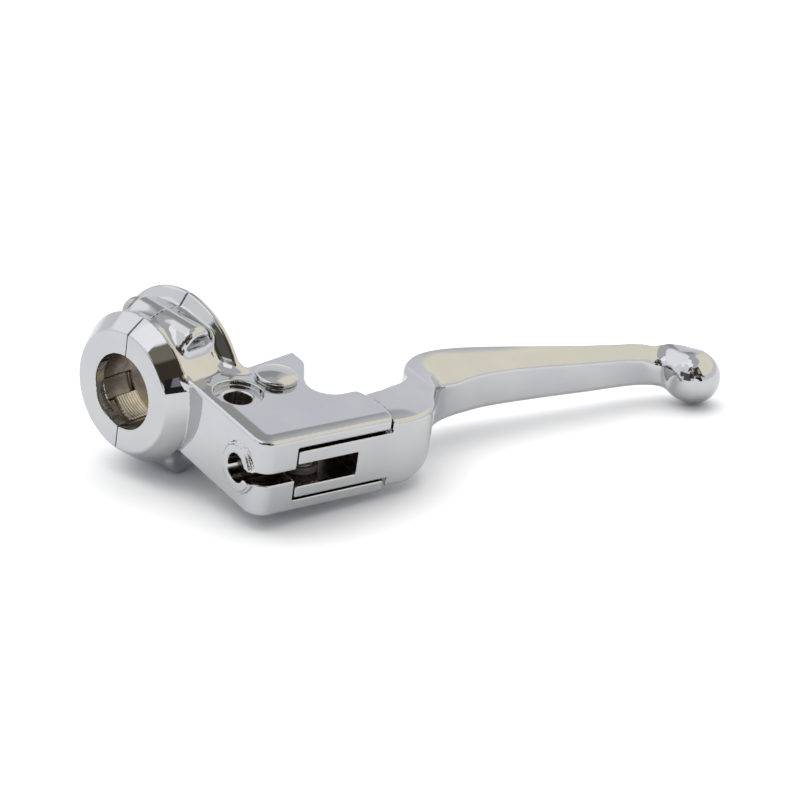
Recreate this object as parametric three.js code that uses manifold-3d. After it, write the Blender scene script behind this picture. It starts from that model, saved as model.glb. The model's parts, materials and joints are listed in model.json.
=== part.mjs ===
// A motorcycle clutch lever and its handlebar bracket, in millimetres, +Z up.
// Origin: centre of the pivot pin's flat lower end. +X runs along the handlebar towards the grip,
// +Y points at the rider, and +Z is the pivot axis.
import * as THREE from "three";
import { mergeVertices } from "three/addons/utils/BufferGeometryUtils.js";
import Module from "manifold-3d";

const wasm = await Module();
wasm.setup();

// ---------------------------------------------------------------- driving dimensions
const BAR_RADIUS = 12.7; // 25.4 mm handlebar
const RUNNING_GAP = 0.08; // radial clearance of a pin that turns
const SEAT_GAP = 0.05; // between two pieces that are bolted together
const PAST = 1; // how far a cutter runs past the face it cuts
const FAR = 80; // past the whole of the object

// The clamp is turned about the bar axis. Its stations are distances along the bar.
const CLAMP = {
  faceRadius: 20.6,
  rimRadius: 25.4,
  coneLength: 4.8,
  rimLength: 1.6,
  waistRadius: 24.6,
  flangeStart: 22.2,
  flangeCone: 23.6,
  flangeConeRadius: 27.2,
  flangeRadius: 29.7,
  flangeLand: 25,
  length: 26.5,
  reliefRadius: 13.5,
  reliefStart: 4.2,
  reliefEnd: 22.6,
  halfGap: 0.3,
};
const SCREW = {
  x: 16.2,
  upper: 19, // heights of the two screws from the bar axis
  lower: -20.6,
  shankRadius: 3.1,
  bossRadius: 7,
  bossTipRadius: 5.4,
  frontBossEnd: -16.8,
  bossChamfer: 1.4,
  seat: 12.4,
  seatRadius: 6.2,
  washerThickness: 1.1,
  washerRadius: 5.7,
  headRadius: 4.9,
  headWall: 1.6,
  headShoulder: 2.9,
  shoulderRadius: 3.9,
  headHeight: 3.6,
  crownRadius: 2.7,
  socketRadius: 2.3,
  socketDepth: 2.2,
  tip: -13.5,
  tipChamfer: 0.5,
};
const SCREW_HEIGHTS = [SCREW.upper, SCREW.lower];

// The bracket's block and the lever share the block frame: its origin is on the pivot axis at the
// height of the bar axis, and it is turned by BLOCK_YAW from the bar.
const BLOCK_YAW = THREE.MathUtils.degToRad(-11.4);
const PIVOT_X = 32.1; // from the clamp's inboard face
const PIVOT_Y = -37.2; // from the bar axis
const BLOCK = { top: 13, bottom: -14.2, left: -27.5, front: -35.5, corner: 6, rear: 9.6 };
const EAR = {
  gapTop: 8.6, // the fork's room, above and below the bar's height
  gapBottom: -9.9,
  gapLeft: -13.3,
  gapFront: -11.5, // where the fork's left wall meets the hub's round room
  gapRear: 0.5,
  hubRoom: 9.6,
  noseX: -0.9,
  noseY: -26.3,
  noseRadius: 24.35,
  noseEnd: THREE.MathUtils.degToRad(19.5),
  biteX: 15.5,
  biteY: -7.8,
  biteRadius: 7.7,
  biteStart: THREE.MathUtils.degToRad(-72),
  biteEnd: THREE.MathUtils.degToRad(-218),
};
// Plan of the tab behind the pivot, in bar stations: its rear edge runs along the bar.
const TAB = { right: 50.2, rear: -26.3, frontRight: -31.5, buriedFront: -46 };
const TAB_OUTLINE = [
  [14.8, -20.3],
  [CLAMP.length, TAB.rear],
  [TAB.right, TAB.rear],
  [TAB.right, TAB.frontRight],
  [41.5, -40.5],
  [30, TAB.buriedFront],
  [10, TAB.buriedFront],
  [7, -22.3],
  [7, -16],
];
const MIRROR = { x: -16.4, y: -3.4, holeRadius: 4.5, seatRadius: 8.05, seatDepth: 1.7, clearance: 5 };
const CABLE = {
  y: -24.5,
  z: -0.8,
  bore: 4.75,
  bossRadius: 8.4,
  bossHeight: 1.5,
  bossRoot: 8, // how far the boss is let into the block
  slitHalf: 2.05,
};

const PIN = { shank: 4.75, head: 7.03, rim: 1.8, dome: 1.3, foot: -17, groove: 3.9, chamfer: 0.6 };
const PIN_DOME_STEPS = 4;
const RING = { top: -14.4, bottom: -15.4, outer: 7.2, mouthHalf: 1.6 };
const BUSH = { outer: 6.2 };

const LEVER = {
  top: 7.7,
  bottom: -9.5,
  shoulder: 12.6,
  left: -12.7,
  hub: 8.6,
  hubStart: THREE.MathUtils.degToRad(-11.5),
  hubEnd: THREE.MathUtils.degToRad(189),
  tongueRight: 30,
  tongueRear: -17.5,
  biteGap: 1.2,
  biteEnd: THREE.MathUtils.degToRad(-207),
  noseGap: 0.55,
  rootLeft: 10,
  rootRight: 31,
  rootEnd: 46,
  rootRound: 19,
  rootSlope: 3,
  rootSlopeLength: 6,
  slotTop: 2.7,
  slotBottom: -5.3,
  slotRight: 10.2,
  slotRear: -13,
};
// Plan of the dog-leg's web, which joins the root to the blade.
const WEB = { top: 9.4, bottom: -11.2 };
const WEB_OUTLINE = [
  [24, -24],
  [44, -24],
  [50, -19.5],
  [55.5, -14.6],
  [60, -10.5],
  [60, 4.2],
  [55, 1.8],
  [50, -2.6],
  [46, -9.4],
  [41, -12.6],
  [24, -16],
];
const BALL = { x: 155, y: -28.1, z: -0.6, radius: 9.4 };
const BLADE_EXPONENT = 2.6; // of the blade's superellipse sections
// Stations of the blade along its centre line: x, y, half thickness, and the height above and the
// depth below the ball's centre.
const BLADE = [
  [52, -8, 6, 9.2, 10.9],
  [60, -3.2, 7.6, 9.6, 10.8],
  [70, -1.7, 8, 9.8, 10.5],
  [84, -3, 6.6, 9.5, 10],
  [100, -6.1, 5.7, 8.8, 9.3],
  [120, -10, 5.2, 7.7, 8.3],
  [138, -13.3, 4.9, 7, 7.2],
  [147, -15.6, 5.3, 7, 7],
  [152, -19, 6.4, 7.6, 7.5],
  [154.6, -24, 7.8, 8.4, 8.4],
  [155, -27, 6, 7, 7],
];
const ANCHOR = {
  x: -4.4,
  y: CABLE.y,
  radius: 4.7,
  chamfer: 0.5,
  flange: 4.9,
  flangeRound: 0.3,
  top: 8.2,
  bottom: -9.7,
  cableSlot: 1.6,
};
const ANCHOR_BUSH = { outer: 6, top: -2.6 };

// ---------------------------------------------------------------- solids from three.js geometry
function solid(geometry) {
  const bare = geometry.index ? geometry.toNonIndexed() : geometry.clone();
  bare.deleteAttribute("normal");
  bare.deleteAttribute("uv");
  const merged = mergeVertices(bare, 1e-4);
  const corners = [...merged.index.array];
  const kept = [];
  for (let i = 0; i < corners.length; i += 3) {
    const [a, b, c] = corners.slice(i, i + 3);
    if (a !== b && b !== c && c !== a) kept.push(a, b, c);
  }
  return new wasm.Manifold(
    new wasm.Mesh({
      numProp: 3,
      vertProperties: merged.attributes.position.array,
      triVerts: new Uint32Array(kept),
    }),
  );
}

// A flat outline, given as a THREE.Shape in XY, made solid between two heights.
function prism(shape, low, high, curveSegments = 12) {
  const settings = { depth: high - low, bevelEnabled: false, curveSegments };
  return solid(new THREE.ExtrudeGeometry(shape, settings).translate(0, 0, low));
}

function polygon(points) {
  return new THREE.Shape(points.map(([x, y]) => new THREE.Vector2(x, y)));
}

// A profile of [axial, radius] points turned about an axis: "x", "y" or "z".
function turned(profile, axis, segments = 48) {
  const points = profile.map(([along, radius]) => new THREE.Vector2(radius, along));
  const geometry = new THREE.LatheGeometry(points, segments);
  if (axis === "x") geometry.rotateZ(-Math.PI / 2);
  if (axis === "z") geometry.rotateX(Math.PI / 2);
  const made = solid(geometry);
  return made.volume() < 0 ? turned([...profile].reverse(), axis, segments) : made;
}

function rod(radius, low, high, axis, segments = 40) {
  return turned([[low, 0], [low, radius], [high, radius], [high, 0]], axis, segments);
}

function slab(low, high) {
  const size = new THREE.Vector3(...high).sub(new THREE.Vector3(...low));
  const centre = new THREE.Vector3(...low).addScaledVector(size, 0.5);
  return solid(new THREE.BoxGeometry(size.x, size.y, size.z).translate(centre.x, centre.y, centre.z));
}

// Moves a solid made in the block frame into the bar's frame.
function fromBlock(made) {
  return made.rotate([0, 0, THREE.MathUtils.radToDeg(BLOCK_YAW)]).translate([PIVOT_X, PIVOT_Y, 0]);
}

function finish(name, made, colour, roughness, metalness = 1) {
  const data = made.getMesh();
  const geometry = new THREE.BufferGeometry();
  geometry.setAttribute("position", new THREE.BufferAttribute(data.vertProperties, 3));
  geometry.setIndex(new THREE.BufferAttribute(data.triVerts, 1));
  geometry.computeVertexNormals();
  const material = new THREE.MeshStandardMaterial({ color: colour, roughness, metalness });
  const mesh = new THREE.Mesh(geometry, material);
  mesh.name = name;
  return mesh;
}

const CHROME = 0xd9dadf;
const ZINC = 0xc8cacc;
const BRONZE = 0xa9824c;
const BLACK_NYLON = 0x17181a;

// ---------------------------------------------------------------- clamp halves
function clampBarrel() {
  const c = CLAMP;
  return turned(
    [
      [0, BAR_RADIUS],
      [0, c.faceRadius],
      [c.coneLength, c.rimRadius],
      [c.coneLength + c.rimLength, c.rimRadius],
      [c.coneLength + 2 * c.rimLength, c.waistRadius],
      [c.flangeStart, c.waistRadius],
      [c.flangeCone, c.flangeConeRadius],
      [c.flangeLand, c.flangeRadius],
      [c.length, c.flangeRadius],
      [c.length, BAR_RADIUS],
      [c.reliefEnd, BAR_RADIUS],
      [c.reliefEnd, c.reliefRadius],
      [c.reliefStart, c.reliefRadius],
      [c.reliefStart, BAR_RADIUS],
      [0, BAR_RADIUS],
    ],
    "x",
    72,
  );
}

// A screw boss along Y, from the parting plane to its chamfered end.
function boss(end, height) {
  const chamfer = Math.sign(end) * SCREW.bossChamfer;
  const profile = [
    [0, 0],
    [0, SCREW.bossRadius],
    [end - chamfer, SCREW.bossRadius],
    [end, SCREW.bossTipRadius],
    [end, 0],
  ];
  return turned(profile, "y", 32).translate([SCREW.x, 0, height]);
}

function screwHole(low, high, height, radius = SCREW.shankRadius + SEAT_GAP) {
  return rod(radius, low, high, "y", 24).translate([SCREW.x, 0, height]);
}

function barSpace() {
  return rod(BAR_RADIUS, -PAST, CLAMP.length + PAST, "x", 72);
}

function halfSpace(side) {
  const far = side * FAR;
  const near = side * CLAMP.halfGap;
  return slab([-FAR, Math.min(near, far), -FAR], [FAR, Math.max(near, far), FAR]);
}

function rearClamp() {
  let half = clampBarrel();
  for (const height of SCREW_HEIGHTS) {
    half = half.add(boss(SCREW.seat, height));
  }
  half = half.subtract(barSpace()).intersect(halfSpace(1));
  for (const height of SCREW_HEIGHTS) {
    half = half.subtract(screwHole(-PAST, FAR, height));
    half = half.subtract(screwHole(SCREW.seat, FAR, height, SCREW.seatRadius));
  }
  return half;
}

// ---------------------------------------------------------------- bracket
// Plan outline of the block with both ears, in the block frame.
function blockOutline() {
  const b = BLOCK;
  const e = EAR;
  const noseLow = Math.acos((b.front - e.noseY) / e.noseRadius) - Math.PI / 2;
  const shape = new THREE.Shape();
  shape.moveTo(b.left, b.rear);
  shape.lineTo(b.left, b.front + b.corner);
  shape.absarc(b.left + b.corner, b.front + b.corner, b.corner, Math.PI, 1.5 * Math.PI, false);
  shape.absarc(e.noseX, e.noseY, e.noseRadius, -noseLow, e.noseEnd, false);
  shape.absarc(e.biteX, e.biteY, e.biteRadius, e.biteStart, e.biteEnd, true);
  shape.lineTo(0, b.rear);
  shape.closePath();
  return shape;
}

// Room between the ears for the lever's tongue and hub.
function forkRoom() {
  const e = EAR;
  const hub = rod(e.hubRoom, e.gapBottom, e.gapTop, "z", 48);
  const tongue = polygon([
    [e.gapLeft, -FAR],
    [FAR, -FAR],
    [FAR, e.gapRear],
    [0, e.gapRear],
    [-e.hubRoom, 0],
    [e.gapLeft, e.gapFront],
  ]);
  return hub.add(prism(tongue, e.gapBottom, e.gapTop));
}

function mirrorHole() {
  const seat = BLOCK.top - MIRROR.seatDepth;
  const profile = [
    [BLOCK.bottom - PAST, 0],
    [BLOCK.bottom - PAST, MIRROR.holeRadius],
    [seat, MIRROR.holeRadius],
    [seat, MIRROR.seatRadius],
    [BLOCK.top + MIRROR.clearance, MIRROR.seatRadius],
    [BLOCK.top + MIRROR.clearance, 0],
  ];
  return turned(profile, "z", 40).translate([MIRROR.x, MIRROR.y, 0]);
}

function cableBoss() {
  const outer = BLOCK.left - CABLE.bossHeight;
  const boss = rod(CABLE.bossRadius, outer, BLOCK.left + CABLE.bossRoot, "x", 40);
  return boss.translate([0, CABLE.y, CABLE.z]);
}

// The cable's bore, with the slit that lets the cable in from the front.
function cablePassage() {
  const outer = BLOCK.left - CABLE.bossHeight - PAST;
  const inner = EAR.gapLeft + PAST;
  const bore = rod(CABLE.bore, outer, inner, "x", 32).translate([0, CABLE.y, CABLE.z]);
  const low = [outer, -FAR, CABLE.z - CABLE.slitHalf];
  const slit = slab(low, [inner, CABLE.y, CABLE.z + CABLE.slitHalf]);
  return bore.add(slit);
}

function bracket() {
  const tab = prism(polygon(TAB_OUTLINE), BLOCK.bottom, BLOCK.top);
  const ears = prism(blockOutline(), BLOCK.bottom, BLOCK.top, 10);
  const block = fromBlock(ears.add(cableBoss())).add(tab);
  let body = clampBarrel().add(block).subtract(fromBlock(forkRoom()));
  for (const height of SCREW_HEIGHTS) {
    body = body.add(boss(SCREW.frontBossEnd, height));
  }
  body = body.subtract(barSpace()).intersect(halfSpace(-1));
  for (const height of SCREW_HEIGHTS) {
    body = body.subtract(screwHole(SCREW.tip - PAST, PAST, height));
  }
  const pinHole = rod(PIN.shank + RUNNING_GAP, BLOCK.bottom - PAST, BLOCK.top + PAST, "z");
  return body.subtract(fromBlock(pinHole.add(mirrorHole()).add(cablePassage())));
}

// ---------------------------------------------------------------- clamp fasteners
function clampScrew(height) {
  const s = SCREW;
  const under = s.seat + s.washerThickness + 2 * SEAT_GAP;
  const end = under + s.headHeight;
  const profile = [
    [s.tip, 0],
    [s.tip, s.shankRadius - s.tipChamfer],
    [s.tip + s.tipChamfer, s.shankRadius],
    [under, s.shankRadius],
    [under, s.headRadius],
    [under + s.headWall, s.headRadius],
    [under + s.headShoulder, s.shoulderRadius],
    [end, s.crownRadius],
    [end, 0],
  ];
  const socket = rod(s.socketRadius, end - s.socketDepth, end + PAST, "y", 6);
  return turned(profile, "y", 32).subtract(socket).translate([s.x, 0, height]);
}

function clampWasher(height) {
  const s = SCREW;
  const low = s.seat + SEAT_GAP;
  const high = low + s.washerThickness;
  const inner = s.shankRadius + RUNNING_GAP;
  const profile = [[low, inner], [low, s.washerRadius], [high, s.washerRadius], [high, inner], [low, inner]];
  return turned(profile, "y", 32).translate([s.x, 0, height]);
}

// ---------------------------------------------------------------- pivot
function pivotPin() {
  const under = BLOCK.top + SEAT_GAP;
  const rim = under + PIN.rim;
  const profile = [
    [PIN.foot, 0],
    [PIN.foot, PIN.shank - PIN.chamfer],
    [PIN.foot + PIN.chamfer, PIN.shank],
    [RING.bottom - SEAT_GAP, PIN.shank],
    [RING.bottom - SEAT_GAP, PIN.groove],
    [RING.top + SEAT_GAP, PIN.groove],
    [RING.top + SEAT_GAP, PIN.shank],
    [under, PIN.shank],
    [under, PIN.head],
  ];
  for (let step = 0; step <= PIN_DOME_STEPS; step += 1) {
    const radius = PIN.head * (1 - step / PIN_DOME_STEPS);
    profile.push([rim + PIN.dome * (1 - (radius / PIN.head) ** 2), radius]);
  }
  return turned(profile, "z", 40);
}

function retainingRing() {
  const inner = PIN.groove + SEAT_GAP;
  const { top, bottom, outer } = RING;
  const profile = [[bottom, inner], [bottom, outer], [top, outer], [top, inner], [bottom, inner]];
  const mouth = slab([-RING.mouthHalf, -FAR, bottom - PAST], [RING.mouthHalf, 0, top + PAST]);
  return turned(profile, "z", 40).subtract(mouth);
}

function pivotBush() {
  const inner = PIN.shank + RUNNING_GAP;
  const low = LEVER.bottom;
  const high = LEVER.top;
  const profile = [[low, inner], [low, BUSH.outer], [high, BUSH.outer], [high, inner], [low, inner]];
  return turned(profile, "z", 40);
}

// ---------------------------------------------------------------- lever
// Plan outline of the tongue, which reaches between the ears and carries the hub.
function tongueOutline() {
  const l = LEVER;
  const shape = new THREE.Shape();
  shape.moveTo(l.left, BLOCK.front);
  shape.lineTo(l.tongueRight, BLOCK.front);
  shape.lineTo(l.tongueRight, l.tongueRear);
  shape.absarc(EAR.biteX, EAR.biteY, EAR.biteRadius + l.biteGap, EAR.biteStart, l.biteEnd, true);
  shape.absarc(0, 0, l.hub, l.hubStart, l.hubEnd, false);
  shape.lineTo(l.left, EAR.gapFront - PAST);
  shape.closePath();
  return shape;
}

// Plan outline of the full-height root, which carries on from the ears' round ends.
function rootOutline() {
  const shape = new THREE.Shape();
  shape.moveTo(LEVER.rootLeft, BLOCK.front);
  shape.lineTo(LEVER.rootRight, BLOCK.front);
  shape.bezierCurveTo(37, BLOCK.front, 41.5, -33, 45, -27.6);
  shape.lineTo(48, -22);
  shape.bezierCurveTo(46, -16, 42, -13, 38, -13.6);
  shape.bezierCurveTo(32, -15.6, 28, -15.8, 22, -16.4);
  shape.lineTo(LEVER.rootLeft, -17);
  shape.closePath();
  return shape;
}

// Front elevation of the root: flat on top, with a large round at its lower right.
function rootElevation() {
  const l = LEVER;
  const shape = new THREE.Shape();
  shape.moveTo(l.rootLeft, -l.shoulder);
  shape.lineTo(l.rootEnd - l.rootRound, -l.shoulder);
  shape.absarc(l.rootEnd - l.rootRound, l.rootRound - l.shoulder, l.rootRound, -0.5 * Math.PI, 0, false);
  shape.lineTo(l.rootEnd, l.shoulder - l.rootSlope);
  shape.lineTo(l.rootEnd - l.rootSlopeLength, l.shoulder);
  shape.lineTo(l.rootLeft, l.shoulder);
  shape.closePath();
  return shape;
}

// A closed skin of superellipse sections, each square to the line through its neighbours.
function loft(stations, exponent, around = 28) {
  const corners = [];
  const faces = [];
  const point = ([x, y, thick, above, below], turn, step) => {
    const angle = (2 * Math.PI * step) / around;
    const across = Math.sign(Math.cos(angle)) * Math.abs(Math.cos(angle)) ** (2 / exponent) * thick;
    const rise = Math.abs(Math.sin(angle)) ** (2 / exponent);
    const up = angle < Math.PI ? above * rise : -below * rise;
    return [x - Math.sin(turn) * across, y + Math.cos(turn) * across, up + BALL.z];
  };
  const last = stations.length - 1;
  stations.forEach((station, i) => {
    const before = stations[Math.max(i - 1, 0)];
    const after = stations[Math.min(i + 1, last)];
    const turn = Math.atan2(after[1] - before[1], after[0] - before[0]);
    for (let step = 0; step < around; step += 1) corners.push(...point(station, turn, step));
  });
  for (const i of [0, last]) corners.push(stations[i][0], stations[i][1], BALL.z);
  const centre = stations.length * around;
  for (let step = 0; step < around; step += 1) {
    const next = (step + 1) % around;
    for (let i = 0; i < last; i += 1) {
      const [a, b] = [i * around + step, i * around + next];
      faces.push(a, b, a + around, b, b + around, a + around);
    }
    faces.push(centre, next, step, centre + 1, last * around + step, last * around + next);
  }
  const geometry = new THREE.BufferGeometry();
  geometry.setAttribute("position", new THREE.Float32BufferAttribute(corners, 3));
  geometry.setIndex(faces);
  return solid(geometry);
}

function leverBody() {
  const elevation = prism(rootElevation(), -FAR, FAR, 16).rotate([90, 0, 0]);
  const root = prism(rootOutline(), -LEVER.shoulder, LEVER.shoulder, 14).intersect(elevation);
  const web = prism(polygon(WEB_OUTLINE), WEB.bottom, WEB.top);
  const earRoom = rod(EAR.noseRadius + LEVER.noseGap, -FAR, FAR, "z", 96);
  const ball = solid(new THREE.SphereGeometry(BALL.radius, 32, 20)).translate([BALL.x, BALL.y, BALL.z]);
  const beyondEars = root.add(web).subtract(earRoom.translate([EAR.noseX, EAR.noseY, 0]));
  return beyondEars.add(loft(BLADE, BLADE_EXPONENT)).add(ball);
}

function lever() {
  const l = LEVER;
  const body = leverBody().add(prism(tongueOutline(), l.bottom, l.top));
  const slot = slab([l.left - PAST, BLOCK.front - PAST, l.slotBottom], [l.slotRight, l.slotRear, l.slotTop]);
  const anchorHole = rod(ANCHOR.radius + RUNNING_GAP, -FAR, FAR, "z").translate([ANCHOR.x, ANCHOR.y, 0]);
  const hubBore = rod(BUSH.outer + SEAT_GAP, -FAR, FAR, "z");
  return body.subtract(slot).subtract(anchorHole).subtract(hubBore);
}

// ---------------------------------------------------------------- cable anchor
// An upright pin, made about its own axis, slotted from the front for the cable.
function anchorPin() {
  const a = ANCHOR;
  const body = turned(
    [
      [a.bottom, 0],
      [a.bottom, a.radius - a.chamfer],
      [a.bottom + a.chamfer, a.radius],
      [LEVER.top + SEAT_GAP, a.radius],
      [LEVER.top + SEAT_GAP, a.flange],
      [a.top - a.flangeRound, a.flange],
      [a.top, a.flange - a.flangeRound],
      [a.top, 0],
    ],
    "z",
  );
  const wireSlot = slab([-FAR, -FAR, CABLE.z - a.cableSlot], [FAR, 0, CABLE.z + a.cableSlot]);
  return body.subtract(wireSlot);
}

// A nylon ring on the lower prong of the clevis that keeps the anchor pin from rattling.
function anchorBush() {
  const inner = ANCHOR.radius + RUNNING_GAP;
  const low = LEVER.slotBottom + SEAT_GAP;
  const { outer, top } = ANCHOR_BUSH;
  const profile = [[low, inner], [low, outer], [top, outer], [top, inner], [low, inner]];
  return turned(profile, "z", 32);
}

// ---------------------------------------------------------------- assembly
const barFrame = new THREE.Group();
barFrame.position.set(-PIVOT_X, -PIVOT_Y, -PIN.foot);
barFrame.add(finish("bracket", bracket(), CHROME, 0.06));
barFrame.add(finish("clamp_rear", rearClamp(), CHROME, 0.06));
for (const [side, height] of [["upper", SCREW.upper], ["lower", SCREW.lower]]) {
  barFrame.add(finish(`clamp_screw_${side}`, clampScrew(height), ZINC, 0.2));
  barFrame.add(finish(`clamp_washer_${side}`, clampWasher(height), ZINC, 0.25));
}

const anchorFrame = new THREE.Group();
anchorFrame.position.set(ANCHOR.x, ANCHOR.y, 0);
anchorFrame.add(finish("anchor_pin", anchorPin(), ZINC, 0.2));
anchorFrame.add(finish("anchor_bush", anchorBush(), BLACK_NYLON, 0.5, 0));

const blockFrame = new THREE.Group();
blockFrame.position.set(0, 0, -PIN.foot);
blockFrame.rotation.z = BLOCK_YAW;
blockFrame.add(finish("pivot_pin", pivotPin(), CHROME, 0.08));
blockFrame.add(finish("retaining_ring", retainingRing(), ZINC, 0.3));
blockFrame.add(finish("pivot_bush", pivotBush(), BRONZE, 0.35));
blockFrame.add(finish("lever", lever(), CHROME, 0.06));
blockFrame.add(anchorFrame);

const clutchLever = new THREE.Group();
clutchLever.add(barFrame, blockFrame);

export default clutchLever;
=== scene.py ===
"""The looks of a chromed clutch lever and its handlebar bracket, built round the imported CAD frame.

Shapes are distance functions in millimetres, skinned with quads and shaded with the functions' own
gradients, so that the castings get the rounded edges, fillets and blends of polished metal.
"""
import json
import math

import bmesh
import bpy
import numpy as np
import openvdb
from mathutils import Matrix, Vector


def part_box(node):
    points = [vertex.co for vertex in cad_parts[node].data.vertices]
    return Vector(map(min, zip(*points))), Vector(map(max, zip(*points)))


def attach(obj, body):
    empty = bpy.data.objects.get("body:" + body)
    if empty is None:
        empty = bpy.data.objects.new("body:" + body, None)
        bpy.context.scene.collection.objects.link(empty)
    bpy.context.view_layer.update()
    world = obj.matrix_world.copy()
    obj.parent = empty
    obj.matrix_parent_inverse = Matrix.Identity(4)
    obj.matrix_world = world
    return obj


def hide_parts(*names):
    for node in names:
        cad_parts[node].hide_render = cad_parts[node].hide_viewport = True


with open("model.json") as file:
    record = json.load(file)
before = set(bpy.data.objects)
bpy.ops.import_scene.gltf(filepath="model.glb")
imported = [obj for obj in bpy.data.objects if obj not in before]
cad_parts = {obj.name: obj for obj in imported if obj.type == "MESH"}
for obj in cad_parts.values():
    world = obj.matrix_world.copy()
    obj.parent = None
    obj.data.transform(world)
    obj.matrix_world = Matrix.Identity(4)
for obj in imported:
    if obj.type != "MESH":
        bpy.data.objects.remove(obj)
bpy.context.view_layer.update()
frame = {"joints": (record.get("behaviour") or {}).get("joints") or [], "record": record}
MM = 0.001
record = frame["record"]
mounts = {mount["name"]: mount for mount in record["mounts"]}

# ------------------------------------------------------------------ places taken from the frame, in mm
bar_box = np.array(record["physics"]["openings"][0]["box_m"]) / MM
BAR_CENTRE = bar_box.mean(axis=0)[1:]
CLAMP_START = mounts["inboard_face"]["pos_m"][0] / MM
CLAMP_LENGTH = mounts["outboard_face"]["pos_m"][0] / MM - CLAMP_START
BLOCK_AXIS = -np.array(mounts["cable_seat"]["axis"][:2])
ANCHOR = np.array(frame["joints"][1]["pos_m"]) / MM

# ------------------------------------------------------------------ driving sizes, in mm
# x runs along the bar from the clamp's inboard face, y to the rear and z up, both from the bar's axis.
# u runs along the block towards the lever's ball, v across it to the rear and w up, all from the pivot at
# the bar's height.
BAR_RADIUS = 12.7
PARTING = 0.12  # from the bar's axis to each half's joint face
RING = {"face": 20.6, "rim": 25.4, "depth": 6.5, "length": 6.9, "crown": 0.1}
WAIST = {"radius": 24.5, "inset": 5.8}
FLANGE = {"radius": 29.6, "land": 1.6, "slope": math.radians(57), "fillet": 3.0}
RELIEF = {"depth": 0.9, "middle": 13.4, "half": 9.2}
POCKET = {"radius": 15.0, "middle": 10.2, "half": 6.2, "angle": -0.48, "spread": 0.26, "arc": 13.5}
PAD = {"middle": 11.9, "half": 4.7, "angle": -1.1, "spread": 0.4, "root": 14.5, "low": 12.85, "high": 13.3}
SCREW_X = 16.2
SCREW_HEIGHTS = {"upper": 19.0, "lower": -20.6}
SCREW_HOLE = 3.2
BOSS = {"radius": 7.0, "tip": 5.4, "slope": math.radians(49), "front": 16.8, "seat": 12.4, "spot": 6.2}
BLOCK = {"top": 13.0, "bottom": -14.2, "left": -27.5, "front": -35.5, "corner": 6.0,
         "crown": 0.55, "crown_reach": 5.5}
BLOCK_FILLET = {"least": 0.8, "gain": 3.4, "rise": (8, 13)}  # grows from least up the block's height
SHOULDER = {"inset": 0.5, "front": -14.0}  # the block's step back from the clamp's outboard face
NOSE = {"u": -0.9, "v": -26.3, "radius": 24.35}
BITE = {"u": 15.5, "v": -7.8, "radius": 7.7}
TAB = {"right": 50.6, "rear": -25.8, "front": -31.5, "slope": math.radians(44)}
FORK = {"top": 8.8, "bottom": -10.0, "left": -13.3, "hub": 9.6, "front": -11.5, "rear": 0.5}
MIRROR = {"u": -16.4, "v": -3.4, "hole": 4.5, "bevel": 0.5, "seat": 8.05, "depth": 1.7}
CABLE = {"v": -24.5, "w": -0.8, "bore": 4.75, "boss": 8.4, "boss_height": 0.825, "step": 7.6,
         "step_height": 1.5, "root": 8.0, "slit": 2.05}
PIN_HOLE = 4.9
BLOCK_HEIGHT = 17.0  # of the block frame's origin, which is the bar axis's height
OVERLAP = 1.0  # how far a form or a cut runs into its neighbour

# Edge radii that recur. The other radii stand where the edge is made.
FINE = 0.2
CRISP = 0.3
BROKEN = 0.4
EASY = 0.5


# ------------------------------------------------------------------ distance helpers
def both(a, b, r=0.0):
    """Where a and b are both solid, with the edge between them rounded to r."""
    return np.minimum(np.maximum(a, b), -r) + np.hypot(np.maximum(r + a, 0), np.maximum(r + b, 0))


def either(a, b, r=0.0):
    """Where a or b is solid, with a fillet of radius r between them."""
    return -both(-a, -b, r)


def without(a, b, r=0.0):
    return both(a, -b, r)


def between(place, low, high):
    """Where place lies between low and high."""
    return np.abs(place - (low + high) / 2) - (high - low) / 2


def smooth(low, high, x):
    """0 up to low and 1 from high on, with an easy curve between them."""
    t = np.clip((x - low) / (high - low), 0, 1)
    return t * t * (3 - 2 * t)


def slant(a, b, angle):
    """A plane in two coordinates, whose outward normal is turned by angle from a towards b."""
    return a * math.cos(angle) + b * math.sin(angle)


def bar_coordinates(p):
    """x, y and z of the sizes above, and the radius from the bar's axis."""
    x = p[:, 0] - CLAMP_START
    y = p[:, 1] - BAR_CENTRE[0]
    z = p[:, 2] - BAR_CENTRE[1]
    return x, y, z, np.hypot(y, z)


def block_coordinates(p):
    """u, v and w of the sizes above."""
    u = p[:, 0] * BLOCK_AXIS[0] + p[:, 1] * BLOCK_AXIS[1]
    v = -p[:, 0] * BLOCK_AXIS[1] + p[:, 1] * BLOCK_AXIS[0]
    return u, v, p[:, 2] - BLOCK_HEIGHT


# ------------------------------------------------------------------ skin of a distance function
CHUNK = 400000  # points worked out at a time
TILE = 8  # cells along a tile's side
BAND = 4  # cells on each side of the surface that hold true distances
STRETCH = 1.25  # the most that a blended function overstates a distance
SETTLING_STEPS = 3
GRADIENT_STEP = 0.02


def evaluate(distance, points):
    parts = [distance(points[i:i + CHUNK]) for i in range(0, len(points), CHUNK)]
    return np.concatenate(parts)


def gradient(distance, points):
    """The unit direction in which the distance grows."""
    columns = []
    for axis in range(3):
        offset = np.zeros(3)
        offset[axis] = GRADIENT_STEP
        columns.append(evaluate(distance, points + offset) - evaluate(distance, points - offset))
    slopes = np.stack(columns, axis=1) / (2 * GRADIENT_STEP)
    return slopes / np.maximum(np.linalg.norm(slopes, axis=1, keepdims=True), 1e-9)


def lattice(counts):
    """The whole-number places of a grid, as rows."""
    return np.stack(np.meshgrid(*[np.arange(n) for n in counts], indexing="ij"), -1).reshape(-1, 3)


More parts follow.
